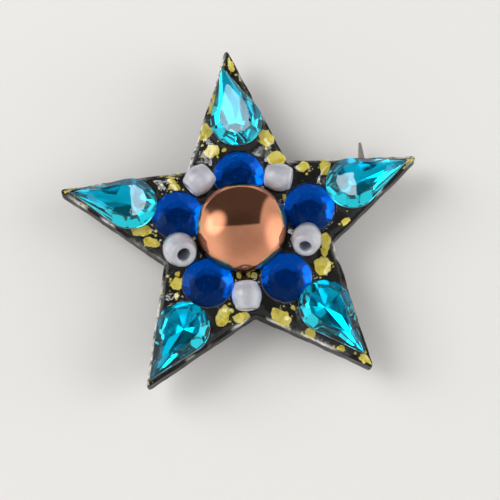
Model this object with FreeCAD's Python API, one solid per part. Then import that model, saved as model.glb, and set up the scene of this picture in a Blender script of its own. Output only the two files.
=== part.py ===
import FreeCAD, Part
import math
import os

# A hand-made star brooch with set stones and a bar pin behind, in millimetres.
# Working frame: x to the right, y to the top tip, z out of the face, with z = 0
# on the star's flat back. Everything is moved to the part's own frame at the end.

Vector = FreeCAD.Vector
up = Vector(0, 0, 1)

# Star base: radius and angle of the hand-cut tips and notches, clockwise from the top
star_tips = [(29.85, 89.9), (29.35, 17.7), (29.05, -54.4), (28.95, -126.4), (29.55, 161.9)]
star_notches = [(12.7, 53.6), (13.5, -14.3), (13.7, -89.0), (13.4, -162.2), (12.8, 128.2)]
base_thickness = 2.8
tip_round = 0.35
notch_round = 0.7
edge_chamfer = 0.2
coat_thickness = 0.3
coat_inset = 0.35

# Stones: half the width, distance from the round end's centre to the point, and depths.
# The pears are cut to a ridge below, and the rounds are flat-backed.
pear_radius = 4.0
pear_nose = 9.3
pear_crown = 1.35
pear_depth = 1.9
pear_table = 0.62
pear_seat = 0.75
round_radius = 3.85
round_crown = 1.2
round_depth = 1.2
round_table = 0.5
round_seat = 0.0
belt = 0.3
upper_girdle_steepness = 1.32
lower_girdle_steepness = 1.22
foil_thickness = 0.06
setting_gap = 0.04

# Where each stone sits: x, y, turn of its point, tilt, and the way that it leans
pear_places = [
    (0.4, 17.2, 98.0, 1.5, 100),
    (17.1, 5.3, 17.5, 1.0, 20),
    (10.75, -13.65, -57.5, 1.5, 320),
    (-10.8, -14.8, -126.9, 2.0, 60),
    (-17.06, 5.5, 163.0, 1.0, 170),
]
round_places = [
    (-0.1, 8.55, 10, 1.0, 90),
    (10.15, 2.2, 4, 2.0, 200),
    (5.45, -8.45, 18, 1.5, 300),
    (-6.5, -8.1, 33, 2.0, 60),
    (-10.05, 3.0, 12, 1.0, 340),
]

# Beads: x, y, height of the centre above the face, relative size, and the hole's direction
bead_radius = 2.25
bead_end_radius = 1.85
bead_length = 4.3
bead_hole_radius = 0.85
bead_edge = 0.4
bead_places = [
    (-6.2, 7.8, 2.0, 1.04, Vector(0.8, 0.6, 0.05)),
    (5.9, 7.05, 1.9, 0.97, Vector(0.96, -0.26, 0.05)),
    (-10.2, -3.0, 2.25, 1.14, Vector(0.25, -0.6, 0.76)),
    (9.05, -3.3, 2.1, 1.04, Vector(-0.2, -0.72, 0.66)),
    (-0.85, -11.1, 1.95, 1.0, Vector(0.03, 1.0, 0.05)),
]

# Dome: a thin pressed cap on a raised pad of clay
dome_x = -0.55
dome_y = -0.35
dome_radius = 7.0
dome_height = 4.6
dome_ball = 9.6
dome_shoulder = 2.9
dome_wall = 0.35
dome_lift = 1.55
pad_radius = 4.85
pad_gap = 0.04

# Gold dabs on the face: x, y, length, width, turn
dab_thickness = 0.1
gold_dabs = [
    # top arm
    (0.8, 27.2, 3.1, 1.4, 80), (1.7, 24.9, 1.8, 0.5, -79), (-2.1, 25.0, 2.2, 0.6, 68),
    (-3.1, 20.5, 3.1, 1.4, 70), (-4.6, 16.1, 2.6, 2.0, 75), (-3.9, 12.9, 2.3, 1.7, 15),
    (4.8, 14.2, 2.5, 2.2, 94), (6.0, 10.7, 2.6, 1.9, -6), (-1.9, 12.9, 0.6, 0.5, 0),
    # left arm
    (-10.6, 9.3, 1.4, 0.5, -22), (-10.5, 8.6, 1.4, 0.5, -16), (-10.1, 7.7, 1.5, 1.1, -27),
    (-26.8, 9.0, 1.4, 0.9, -27), (-24.2, 6.0, 2.2, 0.9, -41), (-15.8, 1.3, 2.9, 1.7, -18),
    (-14.3, -0.8, 2.6, 1.3, -21),
    # lower left arm
    (-13.4, -6.5, 4.3, 0.6, 75), (-14.4, -11.9, 4.6, 0.6, 81), (-11.2, -7.7, 1.8, 1.4, 70),
    (-10.9, -6.2, 0.6, 0.6, 0), (-11.4, -9.7, 1.2, 0.6, 75), (-4.7, -13.4, 3.1, 1.7, 70),
    (-3.3, -12.8, 0.6, 0.5, 0), (-1.9, -13.9, 2.2, 1.1, 10), (-8.7, -19.4, 1.5, 0.5, 50),
    # lower right arm
    (4.0, -14.5, 3.1, 2.0, -42), (5.9, -13.3, 0.9, 0.6, -57), (8.0, -17.4, 1.5, 1.3, -47),
    (12.5, -20.3, 1.2, 0.9, 0), (15.8, -22.4, 2.2, 1.6, -47), (14.5, -17.2, 1.8, 0.5, -82),
    # right arm
    (12.0, -3.4, 2.8, 1.3, 88), (11.7, -5.1, 1.2, 0.9, 84), (11.2, -7.2, 2.6, 2.2, 79),
    (9.9, 8.9, 1.8, 1.4, 15), (13.3, 8.3, 2.2, 1.4, 79), (15.6, -0.6, 1.5, 1.3, 45),
    (26.4, 8.1, 1.7, 0.9, 54),
    # round the dome
    (6.8, 3.8, 1.8, 0.9, -67), (7.2, 2.1, 0.8, 0.5, 0), (-1.7, -7.3, 0.8, 0.8, 0),
    (-0.2, -7.4, 0.8, 0.6, 84), (0.6, -7.7, 0.8, 0.6, 55),
]

# Bar pin: a strip with folded hinge ears, a sprung stem and a rolling safety catch
bar_left = -16.6
bar_length = 38.0
bar_width = 4.2
bar_thickness = 0.6
bar_y = 7.0
bar_hole_radius = 0.9
bar_hole_places = [-9.0, 1.8, 12.4]
glue_thickness = 0.25
glue_spread = 0.35
glue_button_radius = 1.35
glue_button_tip_radius = 0.8
glue_button_height = 0.2
axle_height = 1.45
hinge_inset = 1.5
ear_gap = 0.55
ear_thickness = 0.5
ear_radius = 1.05
rivet_radius = 0.5
rivet_head_radius = 0.85
rivet_head = 0.25
running_gap = 0.05
stem_radius = 0.38
stem_eye_radius = 1.1
stem_eye_width = 0.9
stem_taper = 5.4
stem_past_catch = 0.9
stem_tip_radius = 0.04
catch_length = 3.4
catch_inset = 0.2
catch_wall = 0.33
sleeve_wall = 0.45
mouth_width = 1.1
tab_width = 1.5
tab_shoulder = 1.0
tab_tip_width = 0.42
tab_thickness = 0.45
tab_reach = 6.4
tab_lift = 14
catch_travel = 150
window_margin = 14
window_reach = 4.0
window_steps = 6
foot_half_width = 0.87


def polar(radius, angle):
    turn = math.radians(angle)
    return Vector(radius * math.cos(turn), radius * math.sin(turn), 0)


def cylinder(radius, length, start, direction):
    return Part.makeCylinder(radius, length, start, direction)


def join(shapes):
    return shapes[0].multiFuse(shapes[1:]).removeSplitter()


# Star and its clear coat

def star_outline(inset):
    # Straight edges between corners that are rounded by arcs tangent to both sides
    corners = []
    for tip, notch in zip(star_tips, star_notches):
        corners.append((polar(*tip), tip_round))
        corners.append((polar(*notch), notch_round))
    spans = []
    for number, (corner, radius) in enumerate(corners):
        back = corners[number - 1][0] - corner
        ahead = corners[(number + 1) % len(corners)][0] - corner
        back.normalize()
        ahead.normalize()
        half = back.getAngle(ahead) / 2
        middle = back + ahead
        middle.normalize()
        start = corner + back * (radius / math.tan(half))
        end = corner + ahead * (radius / math.tan(half))
        crest = corner + middle * (radius / math.sin(half) - radius)
        spans.append((start, crest, end))
    edges = []
    for number, (start, crest, end) in enumerate(spans):
        edges.append(Part.Arc(start, crest, end).toShape())
        following = spans[(number + 1) % len(spans)][0]
        edges.append(Part.LineSegment(end, following).toShape())
    outline = Part.Wire(edges)
    return outline.makeOffset2D(-inset) if inset else outline


def star_blank():
    blank = Part.Face(star_outline(0)).extrude(up * base_thickness)
    rim = [edge for edge in blank.Edges if edge.BoundBox.ZMin > base_thickness - 0.01]
    return blank.makeChamfer(edge_chamfer, rim)


def coat_blank():
    outline = star_outline(coat_inset)
    outline.translate(up * base_thickness)
    return Part.Face(outline).extrude(up * coat_thickness)


# Faceted stones. The girdle is a circle, or a circle drawn out to a point along +x.
# Every row of facets leans towards one point on the axis over the round end's centre.

def girdle_prism(radius, nose, low, high):
    if nose == 0:
        return cylinder(radius, high - low, up * low, up)
    half = math.degrees(math.acos(radius / nose))
    upper = polar(radius, half)
    lower = polar(radius, -half)
    point = Vector(nose, 0, 0)
    edges = [
        Part.Arc(upper, Vector(-radius, 0, 0), lower).toShape(),
        Part.LineSegment(lower, point).toShape(),
        Part.LineSegment(point, upper).toShape(),
    ]
    prism = Part.Face(Part.Wire(edges)).extrude(up * (high - low))
    prism.translate(up * low)
    return prism


def facet_row(stone, radius, nose, angles, level, share, apex, side, grow):
    tool_size = 60
    for angle in angles:
        turn = math.radians(angle)
        reach = share * max(radius, nose * math.cos(turn))
        slope = math.atan2(apex, reach)
        normal = Vector(
            math.cos(turn) * math.sin(slope),
            math.sin(turn) * math.sin(slope),
            side * math.cos(slope),
        )
        foot = Vector(reach * math.cos(turn), reach * math.sin(turn), level) + normal * grow
        tool = Part.makeBox(tool_size, tool_size, tool_size / 4,
                            Vector(-tool_size / 2, -tool_size / 2, 0))
        tool.Placement = FreeCAD.Placement(foot, FreeCAD.Rotation(up, normal))
        stone = stone.cut(tool)
    return stone


def facet_angles(nose):
    if nose == 0:
        mains = [45 * step for step in range(8)]
        between = [22.5 + 45 * step for step in range(8)]
        return mains, between
    mains = [0, 48, -48, 78, -78, 112, -112, 147, -147, 180]
    between = [22, -22, 64, -64, 95, -95, 129, -129, 163, -163]
    return mains, between


def faceted_stone(radius, nose, crown, depth, table, grow):
    mains, between = facet_angles(nose)
    scale = (radius + grow) / radius
    stone = girdle_prism(radius * scale, nose * scale, -depth - grow, belt + crown + grow)
    inset = 1 - table
    star_share = table + 0.03
    star_apex = 0.5 * crown * star_share / inset
    rows = [
        (mains, belt, 1.0, crown / inset, 1),
        (between, belt, 1.0, upper_girdle_steepness * crown / inset, 1),
        (between, belt + crown, star_share, star_apex, 1),
    ]
    if nose:
        rows.append((mains, 0, 1.0, depth, -1))
        rows.append((between, 0, 1.0, lower_girdle_steepness * depth, -1))
    for angles, level, share, apex, side in rows:
        stone = facet_row(stone, radius, nose, angles, level, share, apex, side, grow)
    return stone


def stone_set(radius, nose, crown, depth, table):
    stone = faceted_stone(radius, nose, crown, depth, table, 0)
    grown = faceted_stone(radius, nose, crown, depth, table, foil_thickness)
    pocket = faceted_stone(radius, nose, crown, depth, table, foil_thickness + setting_gap)
    foil = grown.common(cylinder(2 * pear_nose, pear_nose, up * -pear_nose, up)).cut(stone)
    return stone, foil, pocket


def placed(shape, x, y, z, turn, tilt, lean):
    moved = shape.copy()
    moved.rotate(Vector(0, 0, 0), up, turn)
    moved.rotate(Vector(0, 0, 0), polar(1, lean + 90), tilt)
    moved.translate(Vector(x, y, z))
    return moved


# Beads, dome and gold

def bead(grow):
    half = bead_length / 2 + grow
    left = Vector(-half, bead_end_radius + grow, 0)
    right = Vector(half, bead_end_radius + grow, 0)
    barrel = Part.Wire([
        Part.Arc(left, Vector(0, bead_radius + grow, 0), right).toShape(),
        Part.LineSegment(right, Vector(half, 0, 0)).toShape(),
        Part.LineSegment(Vector(half, 0, 0), Vector(-half, 0, 0)).toShape(),
        Part.LineSegment(Vector(-half, 0, 0), left).toShape(),
    ])
    return Part.Face(barrel).revolve(Vector(0, 0, 0), Vector(1, 0, 0), 360)


def drilled_bead():
    start = Vector(-bead_length, 0, 0)
    hole = cylinder(bead_hole_radius, 2 * bead_length, start, Vector(1, 0, 0))
    solid = bead(0).cut(hole)
    rims = []
    for edge in solid.Edges:
        if edge.BoundBox.XLength < 0.01 and edge.isClosed():
            rims.append(edge)
    return solid.makeFillet(bead_edge, rims)


def aimed(shape, x, y, z, size, direction):
    moved = shape.copy()
    moved.scale(size)
    moved.Placement = FreeCAD.Placement(
        Vector(x, y, z), FreeCAD.Rotation(Vector(1, 0, 0), direction))
    return moved


def dome_solid(shrink):
    # A shallow ball top and a rounded shoulder over a short straight skirt
    ball = dome_ball - shrink
    height = dome_height - shrink
    radius = dome_radius - shrink
    solid = cylinder(radius, height, Vector(0, 0, 0), up)
    solid = solid.common(Part.makeSphere(ball, up * (height - ball)))
    rim = [edge for edge in solid.Edges if edge.BoundBox.ZLength < 0.01 and edge.BoundBox.ZMin > 0.1]
    solid = solid.makeFillet(dome_shoulder - shrink, rim)
    solid.translate(Vector(dome_x, dome_y, base_thickness + dome_lift))
    return solid


def clay_pad():
    start = Vector(dome_x, dome_y, base_thickness)
    stalk = cylinder(pad_radius, dome_lift + pad_gap, start, up)
    return join([stalk, dome_solid(dome_wall + pad_gap)])


def gold_dab(x, y, length, width, turn):
    ellipse = Part.Ellipse(Vector(0, 0, 0), length / 2, width / 2)
    outline = Part.Wire([ellipse.toShape()])
    dab = Part.Face(outline).extrude(up * dab_thickness)
    dab.rotate(Vector(0, 0, 0), up, turn)
    dab.translate(Vector(x, y, base_thickness))
    return dab.common(coat_blank())


# Bar pin. It hangs under the star's back, with its axles along the catch and the hinge.

bar_back = -glue_thickness - bar_thickness
axle_z = bar_back - axle_height
hinge_x = bar_left + hinge_inset
catch_x = bar_left + bar_length - catch_inset - catch_length / 2
sleeve_radius = axle_height - catch_wall - running_gap


def strip(left, length, width, low, height):
    middle = Part.makeBox(length - width, width, height,
                          Vector(left + width / 2, bar_y - width / 2, low))
    ends = []
    for x in (left + width / 2, left + length - width / 2):
        ends.append(cylinder(width / 2, height, Vector(x, bar_y, low), up))
    return join([middle] + ends)


def pin_bar():
    bar = strip(bar_left, bar_length, bar_width, bar_back, bar_thickness)
    for x in bar_hole_places:
        hole = cylinder(bar_hole_radius, bar_thickness, Vector(x, bar_y, bar_back), up)
        bar = bar.cut(hole)
    ears = []
    for side in (-1, 1):
        near = bar_y + side * ear_gap - (ear_thickness if side < 0 else 0)
        disc = cylinder(ear_radius, ear_thickness, Vector(hinge_x, near, axle_z), Vector(0, 1, 0))
        web = Part.makeBox(2 * ear_radius, ear_thickness, axle_height,
                           Vector(hinge_x - ear_radius, near, axle_z))
        ears.append(join([disc, web]))
    bar = join([bar] + ears)
    bore = cylinder(rivet_radius, bar_width, Vector(hinge_x, bar_y - bar_width / 2, axle_z),
                    Vector(0, 1, 0))
    return bar.cut(bore)


def hinge_rivet():
    half = ear_gap + ear_thickness
    along = Vector(0, 1, 0)
    shank = cylinder(rivet_radius, 2 * half, Vector(hinge_x, bar_y - half, axle_z), along)
    heads = []
    for y in (bar_y - half - rivet_head, bar_y + half):
        heads.append(cylinder(rivet_head_radius, rivet_head, Vector(hinge_x, y, axle_z), along))
    return join([shank] + heads)


def pin_stem():
    along = Vector(1, 0, 0)
    across = Vector(0, 1, 0)
    eye_start = Vector(hinge_x, bar_y - stem_eye_width / 2, axle_z)
    eye = cylinder(stem_eye_radius, stem_eye_width, eye_start, across)
    tip_x = catch_x + catch_length / 2 + stem_past_catch
    wire = cylinder(stem_radius, tip_x - stem_taper - hinge_x, Vector(hinge_x, bar_y, axle_z), along)
    point = Part.makeCone(stem_radius, stem_tip_radius, stem_taper,
                          Vector(tip_x - stem_taper, bar_y, axle_z), along)
    stem = join([eye, wire, point])
    bore = cylinder(rivet_radius + running_gap, 2 * stem_eye_width,
                    Vector(hinge_x, bar_y - stem_eye_width, axle_z), across)
    return stem.cut(bore)


def catch_tube(outer, inner, length):
    start = Vector(catch_x - length / 2, bar_y, axle_z)
    along = Vector(1, 0, 0)
    return cylinder(outer, length, start, along).cut(cylinder(inner, length, start, along))


def catch_mouth(length):
    return Part.makeBox(length, mouth_width, 2 * axle_height,
                        Vector(catch_x - length / 2, bar_y - mouth_width / 2,
                               axle_z - 2 * axle_height))


def catch_housing():
    inner = axle_height - catch_wall
    tube = catch_tube(axle_height, inner, catch_length)
    foot = Part.makeBox(catch_length, 2 * foot_half_width, axle_height,
                        Vector(catch_x - catch_length / 2, bar_y - foot_half_width, axle_z))
    foot = foot.cut(cylinder(inner, catch_length,
                             Vector(catch_x - catch_length / 2, bar_y, axle_z), Vector(1, 0, 0)))
    housing = join([tube, foot]).cut(catch_mouth(catch_length))
    half = tab_width / 2 + 2 * running_gap
    start_angle = tab_lift + window_margin
    end_angle = tab_lift - catch_travel - window_margin
    rays = [Vector(-half, 0, 0)]
    for step in range(window_steps + 1):
        angle = math.radians(start_angle + (end_angle - start_angle) * step / window_steps)
        rays.append(Vector(-half, window_reach * math.cos(angle), window_reach * math.sin(angle)))
    window = Part.Face(Part.makePolygon(rays + rays[:1])).extrude(Vector(2 * half, 0, 0))
    window.translate(Vector(catch_x, bar_y, axle_z))
    return housing.cut(window)


def catch_lever():
    length = catch_length - 4 * running_gap
    sleeve = catch_tube(sleeve_radius, sleeve_radius - sleeve_wall, length)
    sleeve = sleeve.cut(catch_mouth(length))
    root = sleeve_radius - sleeve_wall / 2
    half = tab_width / 2
    tip_half = tab_tip_width / 2
    corners = [
        Vector(-half, root, 0),
        Vector(-half, sleeve_radius + tab_shoulder, 0),
        Vector(-tip_half, tab_reach, 0),
        Vector(tip_half, tab_reach, 0),
        Vector(half, sleeve_radius + tab_shoulder, 0),
        Vector(half, root, 0),
    ]
    tab = Part.Face(Part.makePolygon(corners + corners[:1])).extrude(up * tab_thickness)
    tab.translate(up * (-tab_thickness / 2))
    tab.rotate(Vector(0, 0, 0), Vector(1, 0, 0), tab_lift)
    tab.translate(Vector(catch_x, bar_y, axle_z))
    return join([sleeve, tab])


def pin_glue():
    glue = strip(bar_left - glue_spread, bar_length + 2 * glue_spread,
                 bar_width + 2 * glue_spread, -glue_thickness, glue_thickness)
    plugs = []
    for x in bar_hole_places:
        plugs.append(cylinder(bar_hole_radius, bar_thickness + glue_thickness,
                              Vector(x, bar_y, bar_back), up))
        plugs.append(Part.makeCone(glue_button_tip_radius, glue_button_radius,
                                   glue_button_height,
                                   Vector(x, bar_y, bar_back - glue_button_height), up))
    return join([glue] + plugs)


# Assembly

def build():
    parts = {}
    top = base_thickness
    cutters = []
    pear = stone_set(pear_radius, pear_nose, pear_crown, pear_depth, pear_table)
    gem = stone_set(round_radius, 0, round_crown, round_depth, round_table)
    for name, pieces, places, seat in (
        ("pear", pear, pear_places, pear_seat),
        ("round", gem, round_places, round_seat),
    ):
        for number, (x, y, turn, tilt, lean) in enumerate(places, 1):
            stone, foil, pocket = [
                placed(piece, x, y, top + seat, turn, tilt, lean) for piece in pieces]
            parts[f"{name}_stone_{number}"] = stone
            parts[f"{name}_foil_{number}"] = foil
            cutters.append(pocket)
    plain_bead = drilled_bead()
    bead_socket = bead(setting_gap)
    for number, (x, y, z, size, direction) in enumerate(bead_places, 1):
        parts[f"bead_{number}"] = aimed(plain_bead, x, y, top + z, size, direction)
        cutters.append(aimed(bead_socket, x, y, top + z, size, direction))
    pad = clay_pad()
    parts["dome_pad"] = pad
    parts["dome_shell"] = dome_solid(0).cut(dome_solid(dome_wall))
    dabs = Part.makeCompound([gold_dab(*dab) for dab in gold_dabs])
    blank = star_blank()
    coat = coat_blank().cut(dabs)
    for cutter in cutters:
        blank = blank.cut(cutter)
        coat = coat.cut(cutter)
        dabs = dabs.cut(cutter)
    parts["star_base"] = blank
    parts["clear_coat"] = coat.cut(pad)
    parts["gold_dabs"] = dabs
    parts["pin_bar"] = pin_bar()
    parts["pin_stem"] = pin_stem()
    parts["hinge_rivet"] = hinge_rivet()
    parts["catch_housing"] = catch_housing()
    parts["catch_lever"] = catch_lever()
    parts["pin_glue"] = pin_glue()
    return parts


# The part's origin is under the middle of its box
parts = build()
box = Part.makeCompound(list(parts.values())).BoundBox
origin = Vector(box.Center.x, box.Center.y, box.ZMin)
os.makedirs("parts", exist_ok=True)
for name, shape in parts.items():
    shape.translate(-origin)
    shape.exportStep(f"parts/{name}.step")
    print(name, len(shape.Solids), "solids", round(shape.Volume, 2), "mm3", shape.isValid())
print("box", round(box.XLength, 2), round(box.YLength, 2), round(box.ZLength, 2))
print("hinge axle", Vector(hinge_x, bar_y, axle_z) - origin)
print("catch axle", Vector(catch_x, bar_y, axle_z) - origin)
print("face height", base_thickness - origin.z)
print("origin in the working frame", origin)
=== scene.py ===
import math
import random

import bmesh
import bpy
from mathutils import Matrix, Vector, noise
from mathutils.bvhtree import BVHTree
from mathutils.kdtree import KDTree


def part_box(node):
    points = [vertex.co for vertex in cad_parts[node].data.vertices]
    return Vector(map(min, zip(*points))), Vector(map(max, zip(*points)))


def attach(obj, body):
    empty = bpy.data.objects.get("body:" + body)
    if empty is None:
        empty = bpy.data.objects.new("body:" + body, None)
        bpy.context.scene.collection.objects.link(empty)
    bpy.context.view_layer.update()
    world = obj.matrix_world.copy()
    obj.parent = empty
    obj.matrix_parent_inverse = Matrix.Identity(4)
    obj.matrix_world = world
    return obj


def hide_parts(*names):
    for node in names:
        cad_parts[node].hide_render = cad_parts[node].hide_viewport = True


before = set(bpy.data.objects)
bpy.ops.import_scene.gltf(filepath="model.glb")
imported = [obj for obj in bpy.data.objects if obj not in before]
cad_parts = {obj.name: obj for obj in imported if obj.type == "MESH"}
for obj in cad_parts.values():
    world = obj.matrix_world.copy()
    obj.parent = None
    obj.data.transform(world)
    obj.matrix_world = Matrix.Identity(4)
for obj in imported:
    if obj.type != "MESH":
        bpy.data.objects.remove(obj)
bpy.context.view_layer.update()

scene = bpy.context.scene
mm = 0.001
slack = {"weld": 0.0005 * mm, "cut": 0.001 * mm, "wall": 0.002 * mm, "level": 0.01 * mm}
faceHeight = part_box("star_base")[1].z
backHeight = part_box("star_base")[0].z


# Small helpers

def cadCopy(node):
    # A welded copy of a CAD node's mesh, ready to be reshaped
    bm = bmesh.new()
    bm.from_mesh(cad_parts[node].data)
    bmesh.ops.remove_doubles(bm, verts=bm.verts, dist=slack["weld"])
    bmesh.ops.dissolve_degenerate(bm, edges=bm.edges, dist=slack["weld"])
    return bm


def makePiece(name, bm, material, replaced=(), body="brooch", smooth=True):
    mesh = bpy.data.meshes.new(name)
    bm.to_mesh(mesh)
    bm.free()
    mesh.materials.append(material)
    for face in mesh.polygons:
        face.use_smooth = smooth
    piece = bpy.data.objects.new(name, mesh)
    scene.collection.objects.link(piece)
    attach(piece, body)
    if replaced:
        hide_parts(*replaced)
    return piece


def cutGrid(bm, spacing, axes):
    # Slices the mesh along straight lines, so that its flat faces can be made uneven
    for axis in axes:
        low = min(vert.co[axis] for vert in bm.verts)
        high = max(vert.co[axis] for vert in bm.verts)
        normal = Vector((0, 0, 0))
        normal[axis] = 1
        for step in range(1, int((high - low) / spacing) + 1):
            place = Vector((0, 0, 0))
            place[axis] = low + step * spacing
            geometry = bm.verts[:] + bm.edges[:] + bm.faces[:]
            bmesh.ops.bisect_plane(bm, geom=geometry, dist=slack["cut"], plane_co=place, plane_no=normal)


def flatTree(points):
    # Finds the nearest of some points as seen from above
    tree = KDTree(len(points))
    for number, point in enumerate(points):
        tree.insert((point.x, point.y, 0), number)
    tree.balance()
    return tree


def flatDistance(tree, point):
    return tree.find((point.x, point.y, 0))[2]


def wander(point, size, seed):
    # A number that drifts smoothly from place to place, near 0
    return noise.noise(point / size + Vector((seed, 2 * seed, 3 * seed)))


def push(point, size, seed):
    # A sideways push that drifts smoothly from place to place
    return Vector((wander(point, size, seed), wander(point, size, seed + 4), 0))


def finishNode(node, material):
    # Gives a CAD node that keeps its shape a better material
    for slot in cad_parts[node].material_slots:
        slot.material = material


# Materials

def newMaterial(name):
    material = bpy.data.materials.new(name)
    material.use_nodes = True
    nodes = material.node_tree.nodes
    shader = nodes["Principled BSDF"]
    return material, nodes, material.node_tree.links, shader


def objectNoise(nodes, links, scale, detail=4, roughness=0.5):
    place = nodes.new("ShaderNodeTexCoord")
    texture = nodes.new("ShaderNodeTexNoise")
    texture.inputs["Scale"].default_value = scale
    texture.inputs["Detail"].default_value = detail
    texture.inputs["Roughness"].default_value = roughness
    links.new(place.outputs["Object"], texture.inputs["Vector"])
    return texture


def rampBetween(nodes, links, source, stops):
    ramp = nodes.new("ShaderNodeValToRGB")
    ramp.color_ramp.elements[0].position = stops[0][0]
    ramp.color_ramp.elements[0].color = (*stops[0][1], 1)
    ramp.color_ramp.elements[1].position = stops[-1][0]
    ramp.color_ramp.elements[1].color = (*stops[-1][1], 1)
    for position, colour in stops[1:-1]:
        ramp.color_ramp.elements.new(position).color = (*colour, 1)
    links.new(source, ramp.inputs["Fac"])
    return ramp.outputs["Color"]


def mapBetween(nodes, links, source, low, high, fromLow=0.3, fromHigh=0.7):
    spread = nodes.new("ShaderNodeMapRange")
    spread.inputs["From Min"].default_value = fromLow
    spread.inputs["From Max"].default_value = fromHigh
    spread.inputs["To Min"].default_value = low
    spread.inputs["To Max"].default_value = high
    links.new(source, spread.inputs["Value"])
    return spread.outputs["Result"]


def combine(nodes, links, operation, first, second):
    node = nodes.new("ShaderNodeMath")
    node.operation = operation
    for socket, value in zip(node.inputs, (first, second)):
        if isinstance(value, float):
            socket.default_value = value
        else:
            links.new(value, socket)
    return node.outputs["Value"]


def addBump(nodes, links, shader, heights, strength, distance):
    bump = nodes.new("ShaderNodeBump")
    bump.inputs["Strength"].default_value = strength
    bump.inputs["Distance"].default_value = distance
    links.new(heights, bump.inputs["Height"])
    links.new(bump.outputs["Normal"], shader.inputs["Normal"])


glassKinds = {
    "aquaGlass": {"colour": (0.0, 0.76, 0.93), "ior": 1.49, "glint": (0.75, 0.9, 1)},
    "cobaltGlass": {"colour": (0.0, 0.33, 0.84), "ior": 1.46, "glint": (0.15, 0.3, 0.6)},
}
glassRipple = {"scale": 900, "strength": 0.05, "depth": 0.02 * mm}


def glassMaterial(name):
    kind = glassKinds[name]
    material, nodes, links, shader = newMaterial(name)
    shader.inputs["Base Color"].default_value = (*kind["colour"], 1)
    shader.inputs["Transmission Weight"].default_value = 1
    shader.inputs["IOR"].default_value = kind["ior"]
    shader.inputs["Specular Tint"].default_value = (*kind["glint"], 1)
    shader.inputs["Roughness"].default_value = 0
    ripple = objectNoise(nodes, links, glassRipple["scale"], 2)  # left by the mould
    addBump(nodes, links, shader, ripple.outputs["Fac"], glassRipple["strength"], glassRipple["depth"])
    return material


metalKinds = {
    "brightFoil": {"light": (0.95, 0.96, 0.97), "dark": (0.85, 0.87, 0.9), "gloss": (0.1, 0.25),
                   "grain": 3000, "scratch": 0.1},
    "paintedFoil": {"light": (0.95, 0.96, 0.97), "dark": (0.85, 0.87, 0.9), "gloss": (0.18, 0.3),
                    "grain": 3000, "scratch": 0.1},
    "copperPlate": {"light": (0.74, 0.325, 0.185), "dark": (0.63, 0.265, 0.15), "gloss": (0.04, 0.12),
                    "grain": 700, "scratch": 0.06},
    "platedSteel": {"light": (0.60, 0.59, 0.56), "dark": (0.36, 0.34, 0.31), "gloss": (0.18, 0.42),
                    "grain": 2600, "scratch": 0.35},
    "springSteel": {"light": (0.68, 0.68, 0.68), "dark": (0.45, 0.44, 0.43), "gloss": (0.12, 0.3),
                    "grain": 3500, "scratch": 0.3},
}
metalWear = {"smudge": 260, "spots": 1400, "scratchDepth": 0.01 * mm}


def metalMaterial(name):
    kind = metalKinds[name]
    material, nodes, links, shader = newMaterial(name)
    shader.inputs["Metallic"].default_value = 1
    smudge = objectNoise(nodes, links, metalWear["smudge"], 5, 0.6)
    tint = rampBetween(nodes, links, smudge.outputs["Fac"], [(0.3, kind["dark"]), (0.62, kind["light"])])
    links.new(tint, shader.inputs["Base Color"])
    spots = objectNoise(nodes, links, metalWear["spots"], 6, 0.7)
    links.new(mapBetween(nodes, links, spots.outputs["Fac"], *kind["gloss"]), shader.inputs["Roughness"])
    fine = objectNoise(nodes, links, kind["grain"], 3, 0.6)
    addBump(nodes, links, shader, fine.outputs["Fac"], kind["scratch"], metalWear["scratchDepth"])
    return material


# The pale edge colour and its speckle are a painted highlight along the star's top edges, not wear
clayLook = {
    "tints": [(0.35, (0.003, 0.003, 0.004)), (0.7, (0.014, 0.013, 0.012))], "mottle": 420, "shine": 0.2,
    "gloss": (0.25, 0.5), "grain": 1500, "grainDepth": 0.06 * mm, "sheenColour": (0.72, 0.71, 0.67), "speckle": 1500,
}


def clayMaterial():
    material, nodes, links, shader = newMaterial("blackClay")
    mottle = objectNoise(nodes, links, clayLook["mottle"], 6, 0.6)
    tint = rampBetween(nodes, links, mottle.outputs["Fac"], clayLook["tints"])
    # Painted highlight: a pale colour is mixed in along the star's top edges, in the share stored on the
    # base's vertices
    paintedEdgeSheen = nodes.new("ShaderNodeAttribute")
    paintedEdgeSheen.attribute_name = "paintedEdgeSheen"
    speckle = objectNoise(nodes, links, clayLook["speckle"], 3, 0.6)
    share = combine(nodes, links, "MULTIPLY", paintedEdgeSheen.outputs["Fac"],
                    mapBetween(nodes, links, speckle.outputs["Fac"], 0.0, 1.0, 0.3, 0.55))
    blend = nodes.new("ShaderNodeMix")
    blend.data_type = "RGBA"
    links.new(share, blend.inputs["Factor"])
    links.new(tint, blend.inputs["A"])
    blend.inputs["B"].default_value = (*clayLook["sheenColour"], 1)
    links.new(blend.outputs["Result"], shader.inputs["Base Color"])
    shader.inputs["Specular IOR Level"].default_value = clayLook["shine"]
    links.new(mapBetween(nodes, links, mottle.outputs["Fac"], *clayLook["gloss"]), shader.inputs["Roughness"])
    grain = objectNoise(nodes, links, clayLook["grain"], 8, 0.65)
    addBump(nodes, links, shader, grain.outputs["Fac"], 0.5, clayLook["grainDepth"])
    return material


coatLook = {"colour": (0.97, 0.97, 0.95), "ior": 1.5, "roughness": 0.03,
            "brush": 650, "brushDepth": 0.12 * mm}


def coatMaterial():
    material, nodes, links, shader = newMaterial("clearGloss")
    shader.inputs["Base Color"].default_value = (*coatLook["colour"], 1)
    shader.inputs["Transmission Weight"].default_value = 1
    shader.inputs["IOR"].default_value = coatLook["ior"]
    shader.inputs["Roughness"].default_value = coatLook["roughness"]
    brushed = objectNoise(nodes, links, coatLook["brush"], 4, 0.55)
    addBump(nodes, links, shader, brushed.outputs["Fac"], 0.45, coatLook["brushDepth"])
    return material


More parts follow.
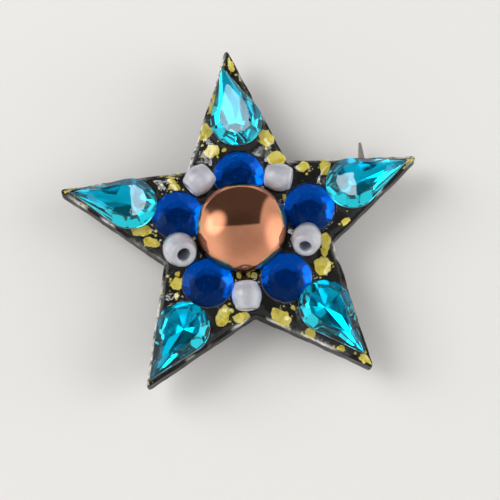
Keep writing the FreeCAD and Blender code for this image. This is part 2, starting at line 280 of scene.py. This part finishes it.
goldLook = {
    "tints": [(0.28, (0.60, 0.42, 0.03)), (0.46, (1.0, 0.85, 0.10)), (0.7, (1.0, 0.93, 0.32))], "metal": 0.2,
    "cloud": 900, "gloss": (0.42, 0.24), "crinkle": 2400, "crinkleDepth": 0.05 * mm,
}


def goldMaterial():
    material, nodes, links, shader = newMaterial("goldLeaf")
    shader.inputs["Metallic"].default_value = goldLook["metal"]
    cloudy = objectNoise(nodes, links, goldLook["cloud"], 6, 0.6)
    tint = rampBetween(nodes, links, cloudy.outputs["Fac"], goldLook["tints"])
    links.new(tint, shader.inputs["Base Color"])
    links.new(mapBetween(nodes, links, cloudy.outputs["Fac"], *goldLook["gloss"]), shader.inputs["Roughness"])
    crinkle = objectNoise(nodes, links, goldLook["crinkle"], 5, 0.7)
    addBump(nodes, links, shader, crinkle.outputs["Fac"], 0.5, goldLook["crinkleDepth"])
    return material


pearlLook = {
    "tints": [(0.3, (0.38, 0.38, 0.43)), (0.7, (0.52, 0.52, 0.57))], "streak": 700, "roughness": 0.2,
    "milk": 0.35, "milkReach": (0.9, 0.9, 1.0), "milkDepth": 0.6 * mm, "coatRoughness": 0.05, "shine": 0.8,
    "waves": 500, "waveDepth": 0.05 * mm,
}


def pearlMaterial():
    material, nodes, links, shader = newMaterial("pearlGlass")
    streak = objectNoise(nodes, links, pearlLook["streak"], 4, 0.5)
    tint = rampBetween(nodes, links, streak.outputs["Fac"], pearlLook["tints"])
    links.new(tint, shader.inputs["Base Color"])
    shader.inputs["Roughness"].default_value = pearlLook["roughness"]
    shader.inputs["Subsurface Weight"].default_value = pearlLook["milk"]
    shader.inputs["Subsurface Radius"].default_value = pearlLook["milkReach"]
    shader.inputs["Subsurface Scale"].default_value = pearlLook["milkDepth"]
    shader.inputs["Coat Weight"].default_value = 1
    shader.inputs["Coat Roughness"].default_value = pearlLook["coatRoughness"]
    shader.inputs["Specular IOR Level"].default_value = pearlLook["shine"]
    waves = objectNoise(nodes, links, pearlLook["waves"], 3, 0.5)
    addBump(nodes, links, shader, waves.outputs["Fac"], 0.12, pearlLook["waveDepth"])
    return material


glueLook = {"colour": (0.86, 0.80, 0.62), "clear": 0.75, "ior": 1.5, "roughness": 0.12,
            "lumps": 500, "lumpDepth": 0.1 * mm}


def glueMaterial():
    material, nodes, links, shader = newMaterial("epoxyGlue")
    shader.inputs["Base Color"].default_value = (*glueLook["colour"], 1)
    shader.inputs["Transmission Weight"].default_value = glueLook["clear"]
    shader.inputs["IOR"].default_value = glueLook["ior"]
    shader.inputs["Roughness"].default_value = glueLook["roughness"]
    lumps = objectNoise(nodes, links, glueLook["lumps"], 4, 0.5)
    addBump(nodes, links, shader, lumps.outputs["Fac"], 0.5, glueLook["lumpDepth"])
    return material


aquaGlass = glassMaterial("aquaGlass")
cobaltGlass = glassMaterial("cobaltGlass")
brightFoil = metalMaterial("brightFoil")
paintedFoil = metalMaterial("paintedFoil")
copperPlate = metalMaterial("copperPlate")
platedSteel = metalMaterial("platedSteel")
springSteel = metalMaterial("springSteel")
blackClay = clayMaterial()
clearGloss = coatMaterial()
goldLeaf = goldMaterial()
pearlGlass = pearlMaterial()
epoxyGlue = glueMaterial()
print("materials ready")


# Stones: the cut shapes come from CAD, with worn edges between the facets

stoneShape = {"edgeWear": 0.035 * mm, "airGap": 0.012 * mm,
              "flat": math.radians(1.2), "edge": math.radians(4)}
stoneNames = [f"{kind}_stone_{number}" for kind in ("pear", "round") for number in range(1, 6)]


def setStone(node):
    kind, _, number = node.split("_")
    bm = cadCopy(node)
    bmesh.ops.dissolve_limit(bm, angle_limit=stoneShape["flat"], verts=bm.verts, edges=bm.edges)
    bm.normal_update()
    sharp = [edge for edge in bm.edges if edge.calc_face_angle(0) > stoneShape["edge"]]
    bmesh.ops.bevel(bm, geom=sharp, offset=stoneShape["edgeWear"], affect="EDGES",
                    segments=1, profile=0.5, material=-1, clamp_overlap=True)
    bm.normal_update()
    moves = [(vert, vert.normal.copy()) for vert in bm.verts]
    for vert, normal in moves:
        vert.co -= normal * stoneShape["airGap"]
    material = aquaGlass if kind == "pear" else cobaltGlass
    return makePiece(f"{kind}Stone{number}", bm, material, [node], smooth=False)


for node in stoneNames:
    setStone(node)
    finishNode(node.replace("stone", "foil"), brightFoil if node.startswith("pear") else paintedFoil)
print("stones set")


# Dome: a spun cap with a rolled lower edge

domeShape = {"ball": 9.6 * mm, "shoulder": 2.9 * mm, "wall": 0.35 * mm, "lip": 0.1 * mm,
             "steps": 128, "ballSteps": 24, "shoulderSteps": 18}


def spinProfile(points, centre, steps):
    # Joins profile points with edges and spins them round an upright axis
    bm = bmesh.new()
    verts = [bm.verts.new(centre + Vector((radius, 0, height))) for radius, height in points]
    edges = [bm.edges.new(pair) for pair in zip(verts, verts[1:])]
    bmesh.ops.spin(bm, geom=verts + edges, cent=centre, axis=(0, 0, 1), angle=2 * math.pi,
                   steps=steps, use_merge=True, use_duplicate=False)
    bmesh.ops.remove_doubles(bm, verts=bm.verts, dist=slack["weld"])
    bmesh.ops.recalc_face_normals(bm, faces=bm.faces)
    return bm


def domeLine(radius, height, ball, shoulder):
    # From the crown down to the skirt: a ball's arc, then the shoulder's, each tangent to the next
    ballLevel = height - ball
    shoulderLevel = ballLevel + math.sqrt((ball - shoulder) ** 2 - (radius - shoulder) ** 2)
    meet = math.atan2(radius - shoulder, shoulderLevel - ballLevel)
    line = []
    for step in range(domeShape["ballSteps"] + 1):
        turn = meet * step / domeShape["ballSteps"]
        line.append((ball * math.sin(turn), ballLevel + ball * math.cos(turn)))
    for step in range(1, domeShape["shoulderSteps"] + 1):
        turn = meet + (math.pi / 2 - meet) * step / domeShape["shoulderSteps"]
        across = radius - shoulder + shoulder * math.sin(turn)
        line.append((across, shoulderLevel + shoulder * math.cos(turn)))
    return line


def spinDome():
    low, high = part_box("dome_shell")
    centre = Vector(((low.x + high.x) / 2, (low.y + high.y) / 2, low.z))
    radius = (high.x - low.x) / 2
    height = high.z - low.z
    wall = domeShape["wall"]
    lip = domeShape["lip"]
    outside = domeLine(radius, height, domeShape["ball"], domeShape["shoulder"])
    inside = domeLine(radius - wall, height - wall, domeShape["ball"] - wall, domeShape["shoulder"] - wall)
    rim = [(radius, lip), (radius - 0.3 * lip, 0.3 * lip), (radius - lip, 0), (radius - wall, 0)]
    bm = spinProfile(outside + rim + inside[::-1], centre, domeShape["steps"])
    return makePiece("copperDome", bm, copperPlate, ["dome_shell"])


spinDome()
finishNode("dome_pad", blackClay)
print("dome spun")


# Beads: barrels with ground ends and a round thread hole, each a little uneven

beadShape = {
    "radius": 2.25 * mm, "endRadius": 1.86 * mm, "length": 4.3 * mm, "edge": 0.68 * mm,
    "hole": 0.85 * mm, "flare": 0.25 * mm, "mouthDepth": 0.3 * mm,
    "steps": 64, "bellySteps": 14, "edgeSteps": 8,
    "uneven": 0.05 * mm, "unevenSize": 2 * mm, "evenInside": 1.3,
}
beadKinds = {  # size, and the way that the thread hole points
    1: (1.0, Vector((0.8, 0.6, 0.05))), 2: (0.97, Vector((0.96, -0.26, 0.05))),
    3: (1.14, Vector((0.25, -0.6, 0.76))), 4: (1.04, Vector((-0.2, -0.72, 0.66))),
    5: (1.0, Vector((0.03, 1.0, 0.05))),
}


def blowBead(number):
    low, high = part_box(f"bead_{number}")
    centre = (low + high) / 2
    half = beadShape["length"] / 2
    edge = beadShape["edge"]
    belly = beadShape["radius"] - beadShape["endRadius"]
    outside = []
    for step in range(beadShape["bellySteps"] + 1):
        along = -1 + 2 * step / beadShape["bellySteps"]
        outside.append((beadShape["endRadius"] + belly * (1 - along ** 2), along * (half - edge)))
    topRim = []
    for step in range(1, beadShape["edgeSteps"]):
        turn = math.pi / 2 * step / beadShape["edgeSteps"]
        across = beadShape["endRadius"] - edge * (1 - math.cos(turn))
        topRim.append((across, half - edge * (1 - math.sin(turn))))
    bottomRim = [(across, -height) for across, height in reversed(topRim)]
    hole = beadShape["hole"]
    flare = beadShape["flare"]
    depth = beadShape["mouthDepth"]
    mouth = [(hole + flare, half), (hole + 0.3 * flare, half - 0.2 * depth), (hole, half - depth)]
    inside = [(across, -height) for across, height in reversed(mouth)]
    loop = bottomRim + outside + topRim + mouth + inside
    bm = spinProfile(loop + loop[:1], Vector((0, 0, 0)), beadShape["steps"])
    for vert in bm.verts:
        if math.hypot(vert.co.x, vert.co.y) > beadShape["hole"] * beadShape["evenInside"]:
            bulge = wander(vert.co, beadShape["unevenSize"], 7 * number)
            vert.co += vert.normal * beadShape["uneven"] * bulge
    size, hole = beadKinds[number]
    turn = Vector((0, 0, 1)).rotation_difference(hole).to_matrix().to_4x4()
    bmesh.ops.transform(bm, matrix=Matrix.Translation(centre) @ turn @ Matrix.Scale(size, 4), verts=bm.verts)
    return makePiece(f"glassBead{number}", bm, pearlGlass, [f"bead_{number}"])


for number in beadKinds:
    blowBead(number)
print("beads blown")


# Star base: hand-cut sides, a painted highlight along the top edges and an uneven back

baseShape = {
    "grid": 0.5 * mm, "layers": 0.7 * mm, "edgeReach": 1.2 * mm,
    "wave": 0.16 * mm, "waveSize": 3.5 * mm, "nick": 0.05 * mm, "nickSize": 0.9 * mm,
    # The next two lines set a painted highlight along the top edges, strongest on edges that face the light
    "sheenReach": 0.6 * mm, "sheenDepth": 0.35 * mm, "sheenStrength": 2.2,
    "sheenLeft": 0.95, "sheenUp": 0.55, "sheenPatch": 2, "sheenPatchSize": 2.6 * mm,
    "dent": 0.12 * mm, "dentSize": 4 * mm, "barMargin": 3.2 * mm,
}


def outerWall(bm, level):
    # Places and facings of the outer side wall at one height
    places = []
    facings = []
    for vert in bm.verts:
        walls = [face.normal for face in vert.link_faces if abs(face.normal.z) < 0.4]
        if walls and abs(vert.co.z - level) < slack["wall"]:
            places.append(vert.co.copy())
            facings.append(sum(walls, Vector()).normalized())
    return places, facings


def paintedSheenShare(point, near, facing):
    # How strongly a painted highlight turns a spot of the top edge pale, most of all on edges that face left
    # and up the star, where the light falls
    reach = max(0, 1 - near / baseShape["sheenReach"])
    depth = max(0, 1 - (faceHeight - point.z) / baseShape["sheenDepth"])
    patch = baseShape["sheenLeft"] * max(0, -facing.x) + baseShape["sheenUp"] * facing.y
    patch += baseShape["sheenPatch"] * wander(point, baseShape["sheenPatchSize"], 51)
    return min(1, baseShape["sheenStrength"] * reach * depth) * min(1, max(0, patch))


def cutBase():
    bm = cadCopy("star_base")
    cutGrid(bm, baseShape["grid"], (0, 1))
    cutGrid(bm, baseShape["layers"], (2,))
    bm.normal_update()
    places, facings = outerWall(bm, backHeight)
    edgeTree = flatTree(places)
    paintedEdgeSheen = bm.verts.layers.float.new("paintedEdgeSheen")
    barLow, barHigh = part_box("pin_bar")
    barMiddle = (barLow.y + barHigh.y) / 2
    for vert in bm.verts:
        _, number, near = edgeTree.find((vert.co.x, vert.co.y, 0))
        # Stores how much painted highlight each vertex of the top edge gets
        vert[paintedEdgeSheen] = paintedSheenShare(vert.co, near, facings[number])
        wave = baseShape["wave"] * push(vert.co, baseShape["waveSize"], 1)
        nick = baseShape["nick"] * push(vert.co, baseShape["nickSize"], 9)
        isBack = vert.co.z < backHeight + slack["level"]
        if isBack and abs(vert.co.y - barMiddle) > baseShape["barMargin"]:
            vert.co.z += baseShape["dent"] * (0.5 + wander(vert.co, baseShape["dentSize"], 61))
        vert.co += max(0, 1 - near / baseShape["edgeReach"]) * (wave + nick)
    bmesh.ops.triangulate(bm, faces=bm.faces)
    return makePiece("starBase", bm, blackClay, ["star_base"])


cutBase()
print("base cut")


# Clear coat: pools up against the stones and thins at the star's edges

coatShape = {
    "grid": 0.4 * mm, "swell": 0.1 * mm, "swellSize": 1.6 * mm, "poolReach": 0.4 * mm, "poolSearch": 1.5 * mm,
    "rim": 0.3 * mm, "edgeReach": 0.35 * mm, "edgeDrop": 0.2 * mm,
    "clear": 0.04 * mm, "sink": 0.02 * mm, "thinnest": 0.05 * mm,
}


def settingsTree():
    # The stones and beads, for finding what is near or above a place
    bm = bmesh.new()
    for node in stoneNames + [f"bead_{number}" for number in beadKinds]:
        bm.from_mesh(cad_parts[node].data)
    tree = BVHTree.FromBMesh(bm)
    bm.free()
    return tree


def pourCoat():
    bm = cadCopy("clear_coat")
    low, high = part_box("clear_coat")
    for vert in bm.verts:
        if vert.co.z < high.z - coatShape["thinnest"]:
            vert.co.z = low.z - coatShape["sink"]  # the recesses over the gold are flattened
    bmesh.ops.remove_doubles(bm, verts=bm.verts, dist=slack["cut"])
    bmesh.ops.dissolve_degenerate(bm, edges=bm.edges, dist=slack["cut"])
    cutGrid(bm, coatShape["grid"], (0, 1))
    bm.normal_update()
    star = cadCopy("star_base")
    cutGrid(star, coatShape["grid"], (0, 1))
    star.normal_update()
    starTree = flatTree(outerWall(star, backHeight)[0])
    star.free()
    stones = settingsTree()
    for vert in bm.verts:
        if vert.co.z < high.z - coatShape["thinnest"]:
            continue
        edge = max(0, flatDistance(starTree, vert.co) - coatShape["rim"])
        drop = coatShape["edgeDrop"] * math.exp(-(edge / coatShape["edgeReach"]) ** 2)
        height = high.z + coatShape["swell"] * wander(vert.co, coatShape["swellSize"], 3) - drop
        nearest, _, _, _ = stones.find_nearest(vert.co, coatShape["poolSearch"])
        if nearest is not None:
            away = math.hypot(nearest.x - vert.co.x, nearest.y - vert.co.y)
            pool = math.exp(-(away / coatShape["poolReach"]) ** 2)
            height += max(0, nearest.z - high.z) * pool
        above, _, _, _ = stones.ray_cast(Vector((vert.co.x, vert.co.y, low.z)), Vector((0, 0, 1)))
        if above is not None:
            height = min(height, above.z - coatShape["clear"])
        vert.co.z = max(height, low.z + coatShape["thinnest"])
    bmesh.ops.triangulate(bm, faces=bm.faces)
    return makePiece("clearCoat", bm, clearGloss, ["clear_coat"])


pourCoat()
print("coat poured")


# Gold dabs: the CAD discs torn into ragged flakes that sit in the coat

dabShape = {
    "grid": 0.2 * mm, "grow": 1.12, "tear": 0.34 * mm, "tearSize": 0.9 * mm, "nick": 0.12 * mm,
    "nickSize": 0.35 * mm, "crumple": 0.05 * mm, "crumpleSize": 0.5 * mm, "sink": 0.02 * mm,
    "topFrom": 0.05 * mm,
}
crumbShape = {
    "perDab": 6, "reach": (0.9 * mm, 2.3 * mm),
    "perTip": 26, "tipReach": (0.0, 1.9 * mm), "tipPlace": 27.2 * mm,
    "size": (0.07 * mm, 0.24 * mm), "depth": 0.08 * mm, "corners": 7, "taper": 0.7, "ragged": 0.35,
    "lift": 1 * mm,
}


def meshIslands(bm):
    # Groups of vertices that hang together, one for each loose shape
    waiting = set(bm.verts)
    islands = []
    while waiting:
        island = []
        reach = [waiting.pop()]
        while reach:
            vert = reach.pop()
            island.append(vert)
            for edge in vert.link_edges:
                other = edge.other_vert(vert)
                if other in waiting:
                    waiting.remove(other)
                    reach.append(other)
        islands.append(island)
    return islands


def scatterCrumbs(bm, centres, reach, seed):
    # Crumbs of leaf round each place, wherever the clay's face is open
    dice = random.Random(seed)
    star = cadCopy("star_base")
    face = BVHTree.FromBMesh(star)
    star.free()
    stones = settingsTree()
    ragged = crumbShape["ragged"]
    for centre in centres:
        turn = dice.uniform(0, 2 * math.pi)
        away = dice.uniform(*reach)
        radius = dice.uniform(*crumbShape["size"])
        spot = Vector((centre.x + away * math.cos(turn), centre.y + away * math.sin(turn),
                       faceHeight + crumbShape["lift"]))
        under, _, _, _ = face.ray_cast(spot, Vector((0, 0, -1)))
        above, _, _, _ = stones.ray_cast(spot - Vector((0, 0, 2 * crumbShape["lift"])), Vector((0, 0, 1)))
        if under is None or abs(under.z - faceHeight) > slack["level"] or above is not None:
            continue
        spot.z = faceHeight + crumbShape["depth"] / 2 - dabShape["sink"]
        crumb = bmesh.ops.create_cone(bm, cap_ends=True, segments=crumbShape["corners"], radius1=radius,
                                      radius2=crumbShape["taper"] * radius, depth=crumbShape["depth"],
                                      matrix=Matrix.Translation(spot))
        for vert in crumb["verts"]:
            vert.co += radius * Vector((dice.uniform(-ragged, ragged), dice.uniform(-ragged, ragged), 0))


def starTips():
    # Places near the five tips, out beyond each pear stone
    domeLow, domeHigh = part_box("dome_shell")
    middle = (domeLow + domeHigh) / 2
    tips = []
    for number in range(1, 6):
        low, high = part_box(f"pear_stone_{number}")
        outward = (low + high) / 2 - middle
        outward.z = 0
        tips.append(middle + crumbShape["tipPlace"] * outward.normalized())
    return tips


def layGold():
    bm = cadCopy("gold_dabs")
    centres = []
    for island in meshIslands(bm):
        centre = sum((vert.co for vert in island), Vector()) / len(island)
        centres.append(centre)
        for vert in island:
            vert.co.x = centre.x + (vert.co.x - centre.x) * dabShape["grow"]
            vert.co.y = centre.y + (vert.co.y - centre.y) * dabShape["grow"]
    cutGrid(bm, dabShape["grid"], (0, 1))
    for vert in bm.verts:
        place = Vector((vert.co.x, vert.co.y, 0))
        isTop = vert.co.z > faceHeight + dabShape["topFrom"]
        vert.co += dabShape["tear"] * push(place, dabShape["tearSize"], 21)
        vert.co += dabShape["nick"] * push(place, dabShape["nickSize"], 31)
        if isTop:
            vert.co.z += dabShape["crumple"] * wander(place, dabShape["crumpleSize"], 41)
        else:
            vert.co.z -= dabShape["sink"]
    centres.sort(key=lambda centre: (round(centre.x, 6), round(centre.y, 6)))
    scatterCrumbs(bm, centres * crumbShape["perDab"], crumbShape["reach"], 11)
    scatterCrumbs(bm, starTips() * crumbShape["perTip"], crumbShape["tipReach"], 12)
    bmesh.ops.triangulate(bm, faces=bm.faces)
    return makePiece("goldDabs", bm, goldLeaf, ["gold_dabs"], smooth=False)


layGold()
print("gold laid")


# Bar pin: the CAD parts with softened pressed edges

hardware = {
    "pin_bar": {"piece": "pinBar", "body": "brooch", "finish": platedSteel, "slot": "plated_steel",
                "edge": 0.07 * mm},
    "hinge_rivet": {"piece": "hingeRivet", "body": "brooch", "finish": platedSteel, "slot": "plated_steel",
                    "edge": 0.06 * mm},
    "catch_housing": {"piece": "catchHousing", "body": "brooch", "finish": platedSteel,
                      "slot": "plated_steel", "edge": 0.04 * mm},
    "catch_lever": {"piece": "catchLever", "body": "catch", "finish": platedSteel, "slot": "plated_steel",
                    "edge": 0.05 * mm},
    "pin_stem": {"piece": "pinStem", "body": "stem", "finish": springSteel, "slot": "spring_steel",
                 "edge": 0.05 * mm},
    "pin_glue": {"piece": "pinGlue", "body": "brooch", "finish": epoxyGlue, "slot": "glue",
                 "edge": 0.08 * mm},
}
softening = {"flat": math.radians(0.5), "segments": 3, "bevelFrom": math.radians(40),
             "sharpFrom": math.radians(35)}


def softenPart(node):
    part = hardware[node]
    bm = cadCopy(node)
    bmesh.ops.dissolve_limit(bm, angle_limit=softening["flat"], verts=bm.verts, edges=bm.edges)
    bm.normal_update()
    piece = makePiece(part["piece"], bm, part["finish"], [node], part["body"])
    bevel = piece.modifiers.new("pressedEdges", "BEVEL")
    bevel.width = part["edge"]
    bevel.segments = softening["segments"]
    bevel.limit_method = "ANGLE"
    bevel.angle_limit = softening["bevelFrom"]
    piece.data.set_sharp_from_angle(angle=softening["sharpFrom"])
    return piece


for node in hardware:
    softenPart(node)
print("bar pin ready")


# Floor, lights and camera

view = {"azimuth": -5.9, "elevation": 74, "distance": 259 * mm, "lens": 121.9,
        "right": 0.77 * mm, "down": 3.32 * mm, "nearest": 10 * mm}
tent = {
    "colour": (1, 0.99, 0.98), "level": 0.8, "panelDepth": 0.87,
    "ceiling": ((0.0, -0.2, 0.98), 0.55, 1.0, 0.28),
    "panelSides": [((0.03, 0.96, 0.275), 0.33, 0.39), ((-1, 0.1, 0), -0.6, -0.5),
                   ((1, -0.1, 0), -0.85, -0.75)],
    "glows": [((-0.70, 0.31, 0.63), 0.90, 0.99, 1.5), ((0.93, -0.1, 0.3), 0.80, 0.98, 1.0),
              ((-0.9, -0.1, 0.3), 0.5, 1.0, 0.35)],
}
starCentre = Vector((0.07, -2.98, 6.44)) * mm  # the middle of the star's face
floorLook = {"colour": (0.78, 0.77, 0.75), "roughness": 0.7, "reach": 0.6}


def layFloor():
    bm = bmesh.new()
    bmesh.ops.create_grid(bm, x_segments=8, y_segments=8, size=floorLook["reach"])
    mesh = bpy.data.meshes.new("studioFloor")
    bm.to_mesh(mesh)
    bm.free()
    floor = bpy.data.objects.new("studioFloor", mesh)
    scene.collection.objects.link(floor)
    material, _, _, shader = newMaterial("paleFloor")
    shader.inputs["Base Color"].default_value = (*floorLook["colour"], 1)
    shader.inputs["Roughness"].default_value = floorLook["roughness"]
    mesh.materials.append(material)


lamps = {
    "leftBox": {"place": (-0.46, 0.2, 0.42), "size": (0.5, 0.5), "power": 2.2},
    "rightBox": {"place": (0.55, -0.1, 0.2), "size": (0.4, 0.5), "power": 1.6},
    # small lamps overhead, each for the flat top of one stone
    "topGleam": {"place": (-0.022, 0.215, 0.5), "size": (0.078, 0.1), "power": 0.22,
                 "shown": ["pearStone1", "clearCoat"]},
    "rightGleam": {"place": (0.066, 0.156, 0.5), "size": (0.034, 0.032), "power": 0.041,
                   "shown": ["pearStone2"]},
    "leftGleam": {"place": (-0.033, 0.172, 0.5), "size": (0.042, 0.052), "power": 0.083,
                  "shown": ["pearStone5"]},
}


def addLamp(name):
    lamp = lamps[name]
    light = bpy.data.lights.new(name, "AREA")
    light.shape = "RECTANGLE"
    light.size, light.size_y = lamp["size"]
    light.energy = lamp["power"]
    holder = bpy.data.objects.new(name, light)
    holder.location = lamp["place"]
    scene.collection.objects.link(holder)
    if "shown" in lamp:
        receivers = bpy.data.collections.new(name)
        for piece in lamp["shown"]:
            receivers.objects.link(bpy.data.objects[piece])
        holder.light_linking.receiver_collection = receivers
    else:
        holder.rotation_euler = (-holder.location).to_track_quat("-Z", "Y").to_euler()
        holder.visible_glossy = False  # the tent's glows make the reflections


def towards(nodes, links, place, direction, low, high):
    # 0 to 1 as a direction of the sky comes nearer to the given one
    along = nodes.new("ShaderNodeVectorMath")
    along.operation = "DOT_PRODUCT"
    along.inputs[1].default_value = direction
    links.new(place.outputs["Generated"], along.inputs[0])
    spread = nodes.new("ShaderNodeMapRange")
    spread.interpolation_type = "SMOOTHSTEP"
    spread.inputs["From Min"].default_value = low
    spread.inputs["From Max"].default_value = high
    links.new(along.outputs["Value"], spread.inputs["Value"])
    return spread.outputs["Result"]


def addWorld():
    # A light tent: even light, a darker ceiling, a shaded panel leaning in from behind, and soft glows
    world = bpy.data.worlds.new("lightTent")
    world.use_nodes = True
    nodes = world.node_tree.nodes
    links = world.node_tree.links
    place = nodes.new("ShaderNodeTexCoord")
    shade = None
    for direction, low, high in tent["panelSides"]:
        side = towards(nodes, links, place, direction, low, high)
        shade = side if shade is None else combine(nodes, links, "MULTIPLY", shade, side)
    direction, low, high, amount = tent["ceiling"]
    ceiling = towards(nodes, links, place, direction, low, high)
    dimming = combine(nodes, links, "MULTIPLY", ceiling, amount)
    light = combine(nodes, links, "SUBTRACT", tent["level"], dimming)
    panel = combine(nodes, links, "MULTIPLY", shade, tent["panelDepth"])
    light = combine(nodes, links, "MULTIPLY", light, combine(nodes, links, "SUBTRACT", 1.0, panel))
    for direction, low, high, amount in tent["glows"]:
        glow = towards(nodes, links, place, direction, low, high)
        extra = combine(nodes, links, "MULTIPLY", glow, amount)
        light = combine(nodes, links, "ADD", light, extra)
    links.new(light, nodes["Background"].inputs["Strength"])
    nodes["Background"].inputs["Color"].default_value = (*tent["colour"], 1)
    scene.world = world


def addCamera():
    azimuth = math.radians(view["azimuth"])
    elevation = math.radians(view["elevation"])
    away = Vector((math.sin(azimuth) * math.cos(elevation), -math.cos(azimuth) * math.cos(elevation),
                   math.sin(elevation)))
    facing = (-away).to_track_quat("-Z", "Y")
    aim = starCentre + facing @ Vector((view["right"], -view["down"], 0))
    data = bpy.data.cameras.new("camera")
    data.lens = view["lens"]
    data.clip_start = view["nearest"]
    camera = bpy.data.objects.new("camera", data)
    camera.location = aim + away * view["distance"]
    camera.rotation_euler = facing.to_euler()
    scene.collection.objects.link(camera)
    scene.camera = camera


layFloor()
for name in lamps:
    addLamp(name)
addWorld()
scene.view_settings.view_transform = "Standard"
addCamera()
print("studio ready")
